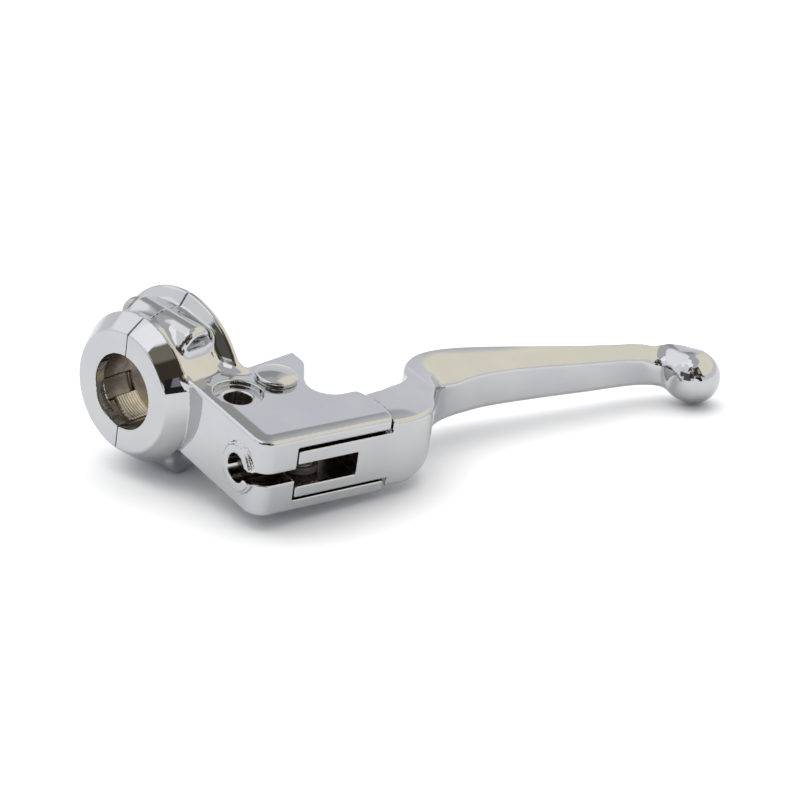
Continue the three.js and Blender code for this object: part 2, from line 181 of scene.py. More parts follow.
def sampled(distance, low, cell, tiles):
    """Values on a grid, worked out only in the tiles that the surface may cross."""
    band = BAND * cell
    corner = lattice(tiles)
    centre = low + (corner * TILE + (TILE - 1) / 2) * cell
    middle = evaluate(distance, centre)
    reach = TILE * cell * math.sqrt(3) / 2 * STRETCH + cell
    near = np.abs(middle) < reach
    values = np.empty((len(corner), TILE ** 3), np.float32)
    values[:] = np.where(middle > 0, band, -band)[:, None]
    places = corner[near][:, None, :] * TILE + lattice([TILE] * 3)[None]
    points = low + places.reshape(-1, 3) * cell
    values[near] = np.clip(evaluate(distance, points), -band, band).reshape(-1, TILE ** 3)
    grid = values.reshape(*tiles, TILE, TILE, TILE).transpose(0, 3, 1, 4, 2, 5)
    return np.ascontiguousarray(grid.reshape([n * TILE for n in tiles])), band


def surface(distance, low, high, cell):
    """Points, quads and outward normals of the zero surface of distance, in the box low to high."""
    low = low - 2 * cell
    high = high + 2 * cell
    tiles = [int(math.ceil(side / cell / TILE)) for side in high - low]
    values, band = sampled(distance, low, cell, tiles)
    volume = openvdb.FloatGrid(band)
    volume.copyFromArray(values)
    points, quads = volume.convertToQuads(0.0)
    points = low + np.asarray(points, float) * cell
    for _ in range(SETTLING_STEPS):
        normals = gradient(distance, points)
        offset = np.clip(evaluate(distance, points), -0.5 * cell, 0.5 * cell)
        points = points - normals * offset[:, None]
    normals = gradient(distance, points)
    quads = np.asarray(quads)
    corners = points[quads]
    facing = np.cross(corners[:, 2] - corners[:, 0], corners[:, 3] - corners[:, 1])
    if (facing * normals[quads[:, 0]]).sum() < 0:
        quads = quads[:, ::-1]
    return points, quads, normals


def skin(name, distance, low, high, cell):
    """A smooth-shaded mesh object of the surface."""
    points, quads, normals = surface(distance, low, high, cell)
    mesh = bpy.data.meshes.new(name)
    mesh.vertices.add(len(points))
    mesh.vertices.foreach_set("co", (points * MM).astype(np.float32).ravel())
    mesh.loops.add(quads.size)
    mesh.loops.foreach_set("vertex_index", quads.astype(np.int32).ravel())
    mesh.polygons.add(len(quads))
    mesh.polygons.foreach_set("loop_start", np.arange(0, quads.size, 4, dtype=np.int32))
    mesh.update(calc_edges=True)
    mesh.polygons.foreach_set("use_smooth", np.ones(len(quads), bool))
    mesh.normals_split_custom_set_from_vertices(normals.astype(np.float32))
    piece = bpy.data.objects.new(name, mesh)
    bpy.context.scene.collection.objects.link(piece)
    return piece


# ------------------------------------------------------------------ clamp
def ring(x, rho):
    """The coned ring at the inboard end of both clamp halves."""
    slope = math.atan2(RING["depth"], RING["rim"] - RING["face"])
    across = (rho - RING["face"]) / (RING["rim"] - RING["face"])
    cone = slant(-x, rho - RING["face"], slope) - RING["crown"] * 4 * across * (1 - across)
    return both(both(cone, rho - RING["rim"], FINE), both(-x, x - RING["length"]), BROKEN)


def barrel(x, rho):
    """The turned waist and flange of both clamp halves."""
    land = CLAMP_LENGTH - FLANGE["land"]
    cone = slant(land - x, rho - FLANGE["radius"], math.pi / 2 - FLANGE["slope"])
    flange = both(cone, rho - FLANGE["radius"], 0.6)
    waist = both(rho - WAIST["radius"], between(x, WAIST["inset"], CLAMP_LENGTH - WAIST["inset"]))
    return both(either(waist, flange, FLANGE["fillet"]), x - CLAMP_LENGTH, EASY)


def boss(x, y, z, reach):
    """The two screw bosses, which end at reach from the bar's axis."""
    found = None
    for height in SCREW_HEIGHTS.values():
        radial = np.hypot(x - SCREW_X, z - height)
        end = y - reach
        body = both(radial - BOSS["radius"], slant(radial - BOSS["tip"], end, BOSS["slope"]), 0.8)
        body = both(both(body, end, BROKEN), -y)
        found = body if found is None else np.minimum(found, body)
    return found


def bar_bore(x, rho):
    """The bar's space: two lands with a relief between them."""
    along = np.abs(x - RELIEF["middle"]) - RELIEF["half"]
    relief = both(rho - BAR_RADIUS - RELIEF["depth"], along, BROKEN)
    return either(rho - BAR_RADIUS, relief)


def bore_patch(x, angle, sizes):
    """Distances outside a patch of the bore: along the bar, and round it in radians."""
    return np.abs(x - sizes["middle"]) - sizes["half"], np.abs(angle - sizes["angle"]) - sizes["spread"]


def bore_pocket(x, rho, angle):
    """The shallow pocket in the rear half's bore."""
    along, turned = bore_patch(x, angle, POCKET)
    return both(both(rho - POCKET["radius"], along, 0.6), turned * POCKET["arc"], 0.6)


def grip_pad(x, rho, angle):
    """The machined pad in the rear half's bore, which bites the bar."""
    along, turned = bore_patch(x, angle, PAD)
    pad = both(both(rho - PAD["root"], PAD["low"] - rho), along, CRISP)
    return both(pad, turned * BAR_RADIUS, CRISP)


def rear_clamp(p):
    """The clamp half behind the bar, with the seats and holes for the two screws."""
    x, y, z, rho = bar_coordinates(p)
    body = either(barrel(x, rho), boss(x, y, z, BOSS["seat"]), 1.6)
    body = either(body, ring(x, rho), EASY)
    for height in SCREW_HEIGHTS.values():
        radial = np.hypot(x - SCREW_X, z - height)
        body = without(body, both(radial - BOSS["spot"], BOSS["seat"] - y), CRISP)
        body = without(body, radial - SCREW_HOLE, CRISP)
    angle = np.arctan2(z, y)
    body = without(body, either(bar_bore(x, rho), bore_pocket(x, rho, angle), CRISP), EASY)
    body = either(body, grip_pad(x, rho, angle), FINE)
    return both(body, PARTING - y, CRISP)


# ------------------------------------------------------------------ bracket
def nose(u, v, gap=0.0):
    """The round end of the block round the pivot, grown by gap."""
    return np.hypot(u - NOSE["u"], v - NOSE["v"]) - NOSE["radius"] - gap


def block_plan(u, v, x, y):
    """Plan of the block: its left and front sides, its rear side, and its side by the lever."""
    outer = both(BLOCK["left"] - u, BLOCK["front"] - v, BLOCK["corner"])
    shoulder = both(x - CLAMP_LENGTH + SHOULDER["inset"], y - SHOULDER["front"])
    rear = either(y - TAB["rear"], shoulder, 1.5)
    diagonal = slant(x - TAB["right"], TAB["front"] - y, TAB["slope"])
    tab = both(x - TAB["right"], diagonal, 1.2)
    right = either(either(nose(u, v), u - NOSE["u"]), tab, 2.0)
    return outer, rear, right


def fork_room(u, v, w):
    """The space between the two ears, in which the lever's tongue turns."""
    wall = both(FORK["left"] - u, v - FORK["front"])
    plan = either(wall, np.hypot(u, v) - FORK["hub"], 1.0)
    plan = either(plan, both(-u, v - FORK["rear"]))
    return both(plan, between(w, FORK["bottom"], FORK["top"]), CRISP)


def mirror_hole(u, v, w):
    """The mirror's stem hole, with a countersink in the floor of its round seat."""
    radial = np.hypot(u - MIRROR["u"], v - MIRROR["v"])
    above = BLOCK["top"] - MIRROR["depth"] - w
    seat = both(radial - MIRROR["seat"], above)
    bevel = slant(radial - MIRROR["hole"] - MIRROR["bevel"], above, math.pi / 4)
    hole = np.minimum(radial - MIRROR["hole"], both(bevel, radial - MIRROR["seat"]))
    return either(seat, hole, 0.35)


def cable_form(u, v, w):
    """The stepped boss round the cable's bore."""
    radial = np.hypot(v - CABLE["v"], w - CABLE["w"])
    proud = BLOCK["left"] - u
    low = both(radial - CABLE["boss"], proud - CABLE["boss_height"], BROKEN)
    high = both(radial - CABLE["step"], proud - CABLE["step_height"], 0.35)
    return both(either(low, high, 0.25), -proud - CABLE["root"])


def cable_room(u, v, w):
    """The cable's bore and the slit that lets the cable in from the front."""
    radial = np.hypot(v - CABLE["v"], w - CABLE["w"])
    slit = both(np.abs(w - CABLE["w"]) - CABLE["slit"], v - CABLE["v"])
    return both(either(radial - CABLE["bore"], slit, CRISP), u - FORK["left"] - OVERLAP)


def bite_room(u, v, gap):
    """The hollow behind the pivot, which leaves room for the hand guard of the switch housing."""
    hollow = np.hypot(u - BITE["u"], v - BITE["v"]) - BITE["radius"] - gap
    return np.minimum(hollow, np.maximum(BITE["u"] - u, BITE["v"] - BITE["radius"] - gap - v))


def block(u, v, w, x, y):
    """The block with its crowned top, rounded sides and cable boss."""
    outer, rear, right = block_plan(u, v, x, y)
    inset = np.maximum(-outer, 0)
    top = w - BLOCK["top"]
    crowned = top + BLOCK["crown"] * np.maximum(1 - inset / BLOCK["crown_reach"], 0) ** 2
    skirt = both(both(outer, crowned, 1.1), BLOCK["bottom"] - w, 1.3)
    back = both(rear, top, 1.2)
    right = without(right, bite_room(u, v, 0), 1.0)
    sides = both(both(right, top, 0.6), rear, 0.7)
    body = both(np.maximum(np.maximum(skirt, back), sides), BLOCK["bottom"] - w, 0.8)
    return either(body, cable_form(u, v, w), CRISP)


def bracket(p):
    """The clamp half in front of the bar, in one casting with the block and its two ears."""
    x, y, z, rho = bar_coordinates(p)
    u, v, w = block_coordinates(p)
    turned = either(barrel(x, rho), boss(x, -y, z, BOSS["front"]), 1.8)
    fillet = BLOCK_FILLET["least"] + BLOCK_FILLET["gain"] * smooth(*BLOCK_FILLET["rise"], w)
    body = either(either(turned, block(u, v, w, x, y), fillet), ring(x, rho), CRISP)
    body = without(body, fork_room(u, v, w), BROKEN)
    body = without(body, mirror_hole(u, v, w), EASY)
    body = without(body, cable_room(u, v, w), BROKEN)
    body = without(body, np.hypot(u, v) - PIN_HOLE, CRISP)
    body = without(body, bar_bore(x, rho), EASY)
    return both(body, y + PARTING, CRISP)


# ------------------------------------------------------------------ lever
LEVER = {"top": 7.45, "bottom": -9.2, "left": -12.7, "rear": -12.5, "right": 26.0, "hub": 8.6,
         "ears_gap": 0.75, "bite_gap": 1.2, "pivot_bore": 6.25, "anchor_bore": 4.8}
WINDOW = {"top": 2.7, "bottom": -5.3, "right": 10.2, "rear": -13.0}
ROOT = {"bottom": -12.6, "end": 46.5, "end_round": 18.0, "blade_start": 36.0, "crown": 0.9,
        "crown_reach": 9.0, "fade": (42, 54)}
NECK_FADE = (138, 150)
BAR_FRONT = {"root": -40.0, "neck": -28.0, "fade": (60, 90)}  # closes the bar inside the ball
BALL = {"u": 155.2, "v": -28.1, "w": -0.4, "radius": 9.3}
BALL_BLEND = {"least": 3.0, "gain": 6.0, "rise": (-4, 5), "fade": (151, 159)}
FACET_REACH = 0.74  # how much of the blade's thickness the upper facet covers
FACET_COSINE = 0.82  # turns a height over the sloping facet into a distance from it
FACET_THINNEST = 4.0  # the least thickness that the facet's slope is worked out from
# Radii of the bar's long edges: on the blade, and what the root and the neck add to them.
BAR_EDGES = {"facet": (2.2, 0.0, 3.8), "front": (1.2, 0.4, 5.8), "foot": (2.4, -1.0, 0.0),
             "back": (2.2, -0.7, 3.8)}
# The bar's plan: front and rear edges as (u, v) stations, from the root to the ball's neck and back.
FRONT_EDGE = [
    (24, -35.5), (31, -35.5), (38.2, -33.3), (44, -28.4), (48, -22.2), (53, -16.4), (59, -12.2), (66, -10.1),
    (75, -9.4), (84, -9.6), (100, -11.7), (120, -15.2), (134, -17.8), (143, -20.2), (147.5, -23.5),
    (148.6, -29),
]
REAR_EDGE = [
    (160.2, -29), (158.4, -21.8), (153.7, -15.8), (146.5, -12.5), (138, -10.1), (120, -6.2), (100, -1.2),
    (84, 3.2), (75, 5.1), (66, 5.9), (58, 4.4), (52, 0.6), (48.0, -4.0), (45.6, -8.6), (41.5, -12.1),
    (36, -14.4), (29.7, -16.3), (22, -17.3),
]


def curve_through(stations, per_span=6):
    """Points along a Catmull-Rom curve through the stations."""
    knots = np.array([stations[0]] + list(stations) + [stations[-1]], float)
    t = np.linspace(0, 1, per_span, endpoint=False)[:, None]
    spans = []
    for a, b, c, d in zip(knots, knots[1:], knots[2:], knots[3:]):
        spans.append(0.5 * (2 * b + (c - a) * t + (2 * a - 5 * b + 4 * c - d) * t ** 2
                            + (3 * b - a - 3 * c + d) * t ** 3))
    return np.concatenate(spans + [knots[-1:]])


def curve_distance(curve, u, v):
    """Distance to an open curve, positive on its right."""
    best = np.full(u.shape, 1e9)
    signed = np.zeros(u.shape)
    for (ax, ay), (bx, by) in zip(curve, curve[1:]):
        dx, dy = bx - ax, by - ay
        share = np.clip(((u - ax) * dx + (v - ay) * dy) / (dx * dx + dy * dy), 0, 1)
        gap = np.hypot(u - ax - share * dx, v - ay - share * dy)
        side = np.sign(dy * (u - ax) - dx * (v - ay))
        closer = gap < best - 1e-9
        best = np.where(closer, gap, best)
        signed = np.where(closer, side * gap, signed)
    return signed


# The edges' distances are tabled once over the plan, and read back by a curve smooth enough for chrome.
TABLE_STEP = 0.5
TABLE_U = np.arange(-30, 176, TABLE_STEP)
TABLE_V = np.arange(-50, 24, TABLE_STEP)
TABLE_END = 3.001  # keeps the last row that the spline reads inside the table


def tabled(stations):
    u, v = np.meshgrid(TABLE_U, TABLE_V, indexing="ij")
    return curve_distance(curve_through(stations), u, v)


def spline_weights(t):
    """Weights of the four neighbours in a cubic B-spline."""
    before = (3 * t ** 3 - 6 * t ** 2 + 4) / 6
    after = (1 + 3 * t * (1 + t - t * t)) / 6
    return (1 - t) ** 3 / 6, before, after, t ** 3 / 6


def read_table(table, u, v):
    """The table's value at (u, v), by a cubic B-spline."""
    place_u = np.clip((u - TABLE_U[0]) / TABLE_STEP, 1, len(TABLE_U) - TABLE_END)
    place_v = np.clip((v - TABLE_V[0]) / TABLE_STEP, 1, len(TABLE_V) - TABLE_END)
    column = place_u.astype(int)
    row = place_v.astype(int)
    total = 0
    for i, weight_u in enumerate(spline_weights(place_u - column)):
        for j, weight_v in enumerate(spline_weights(place_v - row)):
            total = total + weight_u * weight_v * table[column + i - 1, row + j - 1]
    return total


front_table = tabled(FRONT_EDGE)
rear_table = tabled(REAR_EDGE)


def eased(stations, spread=5.0):
    """A size along the blade through (u, size) stations, with its corners eased over spread."""
    places, sizes = zip(*stations)
    half = int(spread / TABLE_STEP)
    bell = np.hanning(2 * half + 1)
    padded = np.arange(TABLE_U[0] - spread, TABLE_U[-1] + spread + TABLE_STEP / 2, TABLE_STEP)
    return np.convolve(np.interp(padded, places, sizes), bell / bell.sum(), mode="valid")


# Heights of the bar's top and bottom, from the root to the ball's neck.
TOP_LINE = eased([
    (24, 12.6), (34, 12.5), (38, 11.9), (42, 11.1), (46, 10.5), (50, 10.2), (54, 10.0), (66, 9.5), (84, 9.1),
    (100, 8.7), (120, 7.8), (136, 7.2), (146, 7.7), (156, 8.0),
])
BOTTOM_LINE = eased([
    (40, -9.3), (56, -9.7), (66, -9.5), (84, -8.8), (100, -8.3), (120, -7.5), (138, -6.5), (147, -6.6),
    (156, -7.8),
])
# Height of the edge between the blade's sloping upper facet and its upright lower facet.
FACET_LINE = eased([
    (48, 12), (53, 9), (58, 5.4), (66, 4.3), (75, 5.4), (90, 5.7), (110, 5.2), (134, 5.0), (142, 4.2),
    (149, 1.2), (156, -0.5),
], 3.0)


def along_bar(u, line):
    return np.interp(u, TABLE_U[:len(line)], line)


def underside(u, w):
    """The root's deep rounded end, and the blade's shallower underside."""
    deep = both(u - ROOT["end"], ROOT["bottom"] - w, ROOT["end_round"])
    shallow = both(along_bar(u, BOTTOM_LINE) - w, ROOT["blade_start"] - u)
    return either(deep, shallow, 2.0)


def facet_above(u, w, front, rear):
    """The blade's upper facet: it slopes up from the front edge to most of the way across."""
    foot = along_bar(u, FACET_LINE)
    rise = np.maximum(along_bar(u, TOP_LINE) - foot, 0)
    share = -front / np.maximum(-front - rear, FACET_THINNEST)
    return (w - foot - rise * share / FACET_REACH) * FACET_COSINE


def bar(u, v, w, front, rear):
    """The lever from its root to the ball's neck."""
    on_root = 1 - smooth(*ROOT["fade"], u)
    on_neck = smooth(*NECK_FADE, u)
    radii = {}
    for edge, (on_blade, root_adds, neck_adds) in BAR_EDGES.items():
        radii[edge] = on_blade + root_adds * on_root + neck_adds * on_neck
    top = w - along_bar(u, TOP_LINE)
    crowned = top + ROOT["crown"] * on_root * np.maximum(1 + front / ROOT["crown_reach"], 0) ** 2
    bottom = underside(u, w)
    upper = both(facet_above(u, w, front, rear), crowned, radii["facet"])
    faced = both(both(upper, front, radii["front"]), bottom, radii["foot"])
    backed = both(both(rear, top, radii["back"]), bottom, radii["back"])
    step = BAR_FRONT["neck"] - BAR_FRONT["root"]
    front_end = BAR_FRONT["root"] + step * smooth(*BAR_FRONT["fade"], u)
    return both(np.maximum(faced, backed), front_end - v, 2.0)


def tongue(u, v, w):
    """The flat part of the lever that turns between the bracket's ears."""
    plan = either(v - LEVER["rear"], np.hypot(u, v) - LEVER["hub"], 3.0)
    plan = without(plan, bite_room(u, v, LEVER["bite_gap"]), 1.0)
    plan = both(both(plan, LEVER["left"] - u, 1.0), BLOCK["front"] - v, 0.8)
    plan = both(plan, u - LEVER["right"])
    return both(plan, between(w, LEVER["bottom"], LEVER["top"]), BROKEN)


def window(u, v, w):
    """The opening in the tongue's front that shows the cable's anchor pin."""
    tall = between(w, WINDOW["bottom"], WINDOW["top"])
    return both(both(tall, u - WINDOW["right"], EASY), v - WINDOW["rear"], EASY)


def ball(u, v, w):
    away = (u - BALL["u"]) ** 2 + (v - BALL["v"]) ** 2 + (w - BALL["w"]) ** 2
    return np.sqrt(away) - BALL["radius"]


def ball_blend(u, w):
    """The fillet into the ball: wide over the neck's top, narrow below it and out at the ball's end."""
    over = smooth(*BALL_BLEND["rise"], w) * (1 - smooth(*BALL_BLEND["fade"], u))
    return BALL_BLEND["least"] + BALL_BLEND["gain"] * over


def from_anchor(u, v):
    """Distance from the anchor pin's axis."""
    anchor_u, anchor_v, _ = block_coordinates(ANCHOR[None])
    return np.hypot(u - anchor_u, v - anchor_v)


def lever(p):
    """The lever, from its tongue between the ears to its ball."""
    u, v, w = block_coordinates(p)
    front = read_table(front_table, u, v)
    rear = read_table(rear_table, u, v)
    body = without(bar(u, v, w, front, rear), nose(u, v, LEVER["ears_gap"]), BROKEN)
    body = either(body, tongue(u, v, w), FINE)
    body = either(body, ball(u, v, w), ball_blend(u, w))
    body = without(body, window(u, v, w), 0.45)
    body = without(body, from_anchor(u, v) - LEVER["anchor_bore"], 0.35)
    return without(body, np.hypot(u, v) - LEVER["pivot_bore"], CRISP)


# ------------------------------------------------------------------ pin, rings, bushes and screws
PIN = {"shank": 4.75, "chamfer": 0.6, "groove": 3.9, "groove_low": 1.55, "groove_high": 2.65,
       "head": 7.03, "seat": 30.05, "rim": 1.8, "dome": 1.3}
RETAINER = {"inner": 3.95, "outer": 7.2, "low": 1.6, "high": 2.6, "mouth": 1.6}
PIVOT_BUSH = {"inner": 4.83, "outer": 6.2, "low": 7.5, "high": 24.7}
ANCHOR_BUSH = {"inner": 4.78, "outer": 6.0, "low": 11.75, "high": 14.4}
ANCHOR_PIN = {"radius": 4.7, "flange": 4.9, "low": 7.3, "flange_low": 24.75, "high": 25.2,
              "slot": 1.6, "slot_height": 16.2, "slot_rear": 0.4}
SCREW = {"shank": 3.1, "tip": -13.5, "seat": 13.6, "head": 4.9, "wall": 1.6, "shoulder": 3.9,
         "shoulder_height": 2.9, "crown": 2.7, "crown_height": 3.6, "socket": 2.3, "socket_depth": 2.2,
         "pitch": 1.0, "thread": 0.3, "thread_end": 9.0}
WASHER = {"inner": 3.18, "outer": 5.7, "low": 12.45, "high": 13.55}


def pin_shank(radial, z):
    """The pin's shank, with a chamfered foot and the retaining ring's groove."""
    foot = slant(radial - PIN["shank"] + PIN["chamfer"], -z, math.pi / 4)
    shank = both(both(radial - PIN["shank"], -z), foot, FINE)
    groove = both(PIN["groove"] - radial, between(z, PIN["groove_low"], PIN["groove_high"]), 0.1)
    return without(both(shank, z - PIN["seat"] - OVERLAP), groove, 0.1)


def pivot_pin(p):
    u, v, _ = block_coordinates(p)
    z = p[:, 2]
    radial = np.hypot(u, v)
    top = PIN["seat"] + PIN["rim"] + PIN["dome"]
    crown = (PIN["head"] ** 2 + PIN["dome"] ** 2) / (2 * PIN["dome"])
    dome = np.hypot(radial, z - top + crown) - crown
    head = both(both(radial - PIN["head"], dome, 0.6), PIN["seat"] - z, 0.35)
    return either(pin_shank(radial, z), head, FINE)


def retaining_ring(p):
    u, v, _ = block_coordinates(p)
    radial = np.hypot(u, v)
    mouth = both(np.abs(u) - RETAINER["mouth"], v)
    plate = without(both(radial - RETAINER["outer"], RETAINER["inner"] - radial, 0.1), mouth, 0.6)
    return both(plate, between(p[:, 2], RETAINER["low"], RETAINER["high"]), 0.15)


def sleeve(radial, height, sizes, edge):
    wall = both(radial - sizes["outer"], sizes["inner"] - radial)
    return both(wall, between(height, sizes["low"], sizes["high"]), edge)


def pivot_bush(p):
    u, v, _ = block_coordinates(p)
    return sleeve(np.hypot(u, v), p[:, 2], PIVOT_BUSH, 0.25)


def anchor_bush(p):
    u, v, _ = block_coordinates(p)
    return sleeve(from_anchor(u, v), p[:, 2], ANCHOR_BUSH, FINE)


def anchor_pin(p):
    """A turned pin with a top flange, and a slot for the cable's end in its front."""
    u, v, _ = block_coordinates(p)
    _, anchor_v, _ = block_coordinates(ANCHOR[None])
    z = p[:, 2]
    radial = from_anchor(u, v)
    shank = both(radial - ANCHOR_PIN["radius"], between(z, ANCHOR_PIN["low"], ANCHOR_PIN["high"]), EASY)
    rim = between(z, ANCHOR_PIN["flange_low"], ANCHOR_PIN["high"])
    flange = both(radial - ANCHOR_PIN["flange"], rim, 0.15)
    slot_wall = np.abs(z - ANCHOR_PIN["slot_height"]) - ANCHOR_PIN["slot"]
    slot = both(slot_wall, v - anchor_v - ANCHOR_PIN["slot_rear"])
    return without(np.minimum(shank, flange), slot, 0.25)


def screw_shank(y, radial, angle):
    """The shank, whose thread fades out below its plain neck."""
    turn = np.mod(y / SCREW["pitch"] - angle / (2 * math.pi), 1)
    thread = SCREW["thread"] * np.abs(2 * turn - 1)
    threaded = radial - SCREW["shank"] + thread * smooth(0, 1, SCREW["thread_end"] - y)
    return both(both(threaded, SCREW["tip"] - y, BROKEN), y - SCREW["seat"] - OVERLAP)


def coned(radial, rise, start, end):
    """Inside a cone between two (radius, height) rings, the lower one first."""
    slope = math.atan2(start[0] - end[0], end[1] - start[1])
    return slant(radial - start[0], rise - start[1], slope)


def screw_head(radial, rise):
    """The cap, rounded off in two coned steps."""
    wall = (SCREW["head"], SCREW["wall"])
    shoulder = (SCREW["shoulder"], SCREW["shoulder_height"])
    crown = (SCREW["crown"], SCREW["crown_height"])
    head = both(both(radial - SCREW["head"], rise - SCREW["crown_height"], CRISP), -rise, 0.15)
    head = both(head, coned(radial, rise, wall, shoulder), 0.6)
    return both(head, coned(radial, rise, shoulder, crown), EASY)


def clamp_screw(height):
    def distance(p):
        x, y, z, _ = bar_coordinates(p)
        across = x - SCREW_X
        up = z - height
        radial = np.hypot(across, up)
        rise = y - SCREW["seat"]
        shank = screw_shank(y, radial, np.arctan2(up, across))
        sides = [slant(across, up, side * math.pi / 3) for side in range(6)]
        socket_floor = SCREW["crown_height"] - SCREW["socket_depth"]
        socket = both(np.max(sides, axis=0) - SCREW["socket"], socket_floor - rise)
        return without(np.minimum(shank, screw_head(radial, rise)), socket, FINE)
    return distance


def clamp_washer(height):
    def distance(p):
        x, y, z, _ = bar_coordinates(p)
        return sleeve(np.hypot(x - SCREW_X, z - height), y, WASHER, FINE)
    return distance


# ------------------------------------------------------------------ materials
def new_material(name):
    material = bpy.data.materials.new(name)
    material.use_nodes = True
    nodes = material.node_tree.nodes
    return material, nodes, material.node_tree.links, nodes["Principled BSDF"]


def noise(nodes, links, scale, detail=3.0):
    """A noise texture in the object's own metres."""
    place = nodes.new("ShaderNodeTexCoord")
    texture = nodes.new("ShaderNodeTexNoise")
    texture.inputs["Scale"].default_value = scale
    texture.inputs["Detail"].default_value = detail
    links.new(place.outputs["Object"], texture.inputs["Vector"])
    return texture.outputs["Fac"]


def ramp(nodes, links, factor, low, high, places=(0.35, 0.65)):
    """A colour that goes from low to high between two places of the factor."""
    blend = nodes.new("ShaderNodeValToRGB")
    for element, place, colour in zip(blend.color_ramp.elements, places, (low, high)):
        element.position = place
        element.color = (*colour, 1)
    links.new(factor, blend.inputs["Fac"])
    return blend.outputs["Color"]


def mixed(nodes, links, factor, first, second):
    """A blend of two colours, each fixed or from another node."""
    mix = nodes.new("ShaderNodeMix")
    mix.data_type = "RGBA"
    links.new(factor, mix.inputs["Factor"])
    for socket, colour in ((mix.inputs[6], first), (mix.inputs[7], second)):
        if isinstance(colour, tuple):
            socket.default_value = (*colour, 1)
        else:
            links.new(colour, socket)
    return mix.outputs[2]


def spread(nodes, links, factor, low, high):
    """A value that goes from low to high over the middle of a noise's range."""
    across = nodes.new("ShaderNodeMapRange")
    across.inputs["From Min"].default_value = 0.3
    across.inputs["From Max"].default_value = 0.7
    across.inputs["To Min"].default_value = low
    across.inputs["To Max"].default_value = high
    links.new(factor, across.inputs["Value"])
    return across.outputs["Result"]


def bump(nodes, links, height, distance):
    bumps = nodes.new("ShaderNodeBump")
    bumps.inputs["Distance"].default_value = distance
    links.new(height, bumps.inputs["Height"])
    return bumps.outputs["Normal"]


def metal(name, low, high, roughness, grain, depth):
    """A metal with a cloudy colour from low to high, uneven polish, and a fine grain depth metres deep."""
    material, nodes, links, shader = new_material(name)
    shader.inputs["Metallic"].default_value = 1.0
    cloud = noise(nodes, links, 90, 4)
    links.new(ramp(nodes, links, cloud, low, high), shader.inputs["Base Color"])
    links.new(spread(nodes, links, noise(nodes, links, 400, 3), *roughness), shader.inputs["Roughness"])
    links.new(bump(nodes, links, noise(nodes, links, grain, 2), depth), shader.inputs["Normal"])
    return material


def chrome():
    return metal("chrome_plate", low=(0.535, 0.545, 0.56), high=(0.565, 0.57, 0.575),
                 roughness=(0.02, 0.05), grain=120, depth=0.000004)


def polished_steel():
    return metal("polished_steel", low=(0.53, 0.535, 0.54), high=(0.58, 0.575, 0.56),
                 roughness=(0.05, 0.11), grain=900, depth=0.000002)


def plated_steel():
    return metal("plated_steel", low=(0.42, 0.42, 0.41), high=(0.52, 0.51, 0.49),
                 roughness=(0.12, 0.24), grain=1500, depth=0.000004)


# Dark brown metal, dark enough to paint in the shade of the recesses that it covers: painted shade.
def painted_shade_metal():
    return metal("dark_metal_painted_shade", low=(0.15, 0.13, 0.105), high=(0.31, 0.265, 0.215),
                 roughness=(0.22, 0.40), grain=1300, depth=0.000008)


def spring_steel():
    return metal("spring_steel", low=(0.045, 0.045, 0.05), high=(0.10, 0.095, 0.09),
                 roughness=(0.32, 0.5), grain=2200, depth=0.000006)


def bronze():
    return metal("bronze", low=(0.42, 0.24, 0.10), high=(0.60, 0.37, 0.17),
                 roughness=(0.26, 0.42), grain=2600, depth=0.000010)


def machined():
    """Bare cut metal, with the cutter's rings round the bar."""
    material, nodes, links, shader = new_material("machined_bore")
    shader.inputs["Metallic"].default_value = 1.0
    place = nodes.new("ShaderNodeTexCoord")
    rings = nodes.new("ShaderNodeTexWave")
    rings.bands_direction = "X"
    rings.inputs["Scale"].default_value = 290
    rings.inputs["Distortion"].default_value = 0.4
    rings.inputs["Detail"].default_value = 2
    links.new(place.outputs["Object"], rings.inputs["Vector"])
    colour = ramp(nodes, links, rings.outputs["Fac"], (0.36, 0.335, 0.29), (0.60, 0.565, 0.50), (0.1, 0.9))
    links.new(colour, shader.inputs["Base Color"])
    links.new(spread(nodes, links, noise(nodes, links, 500), 0.22, 0.42), shader.inputs["Roughness"])
    links.new(bump(nodes, links, rings.outputs["Fac"], 0.00003), shader.inputs["Normal"])
    return material


def nylon():
    material, nodes, links, shader = new_material("nylon")
    colour = ramp(nodes, links, noise(nodes, links, 300), (0.055, 0.05, 0.045), (0.10, 0.09, 0.08))
    links.new(colour, shader.inputs["Base Color"])
    links.new(spread(nodes, links, noise(nodes, links, 1200), 0.4, 0.6), shader.inputs["Roughness"])
    links.new(bump(nodes, links, noise(nodes, links, 1800), 0.00002), shader.inputs["Normal"])
    return material


# ------------------------------------------------------------------ the pieces
# Sides of the cells that the pieces are skinned with, in mm.
CASTING_CELL = 0.5
SCREW_CELL = 0.18
TURNED_CELL = 0.2
SMALL_CELL = 0.15
SKIN_ROOM = 1.0  # how far round its node's box a piece is looked for
NEAR = 0.3  # how far from a cut's surface a face still belongs to it
HOLE_EDGE = {"reach": 0.2, "depth": 0.6}  # of the mirror hole's cut faces, past its wall and below its seat
# Where the painted shade starts: how deep in the bore, from which end faces, and how far behind each rim.
SHADED_BORE = {"depth": 3.2, "inboard": 3.9, "outboard": 1.2}
SHADE_BEHIND_RIM = {"fork": 1.6, "cable": 2.5, "window": 1.2}
materials = {"chrome": chrome(), "polished_steel": polished_steel(), "plated_steel": plated_steel(),
             "spring_steel": spring_steel(), "bronze": bronze(), "nylon": nylon(), "machined": machined(),
             "painted_shade_metal": painted_shade_metal()}


def node_box(node):
    low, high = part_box(node)
    return np.array(low) / MM, np.array(high) / MM


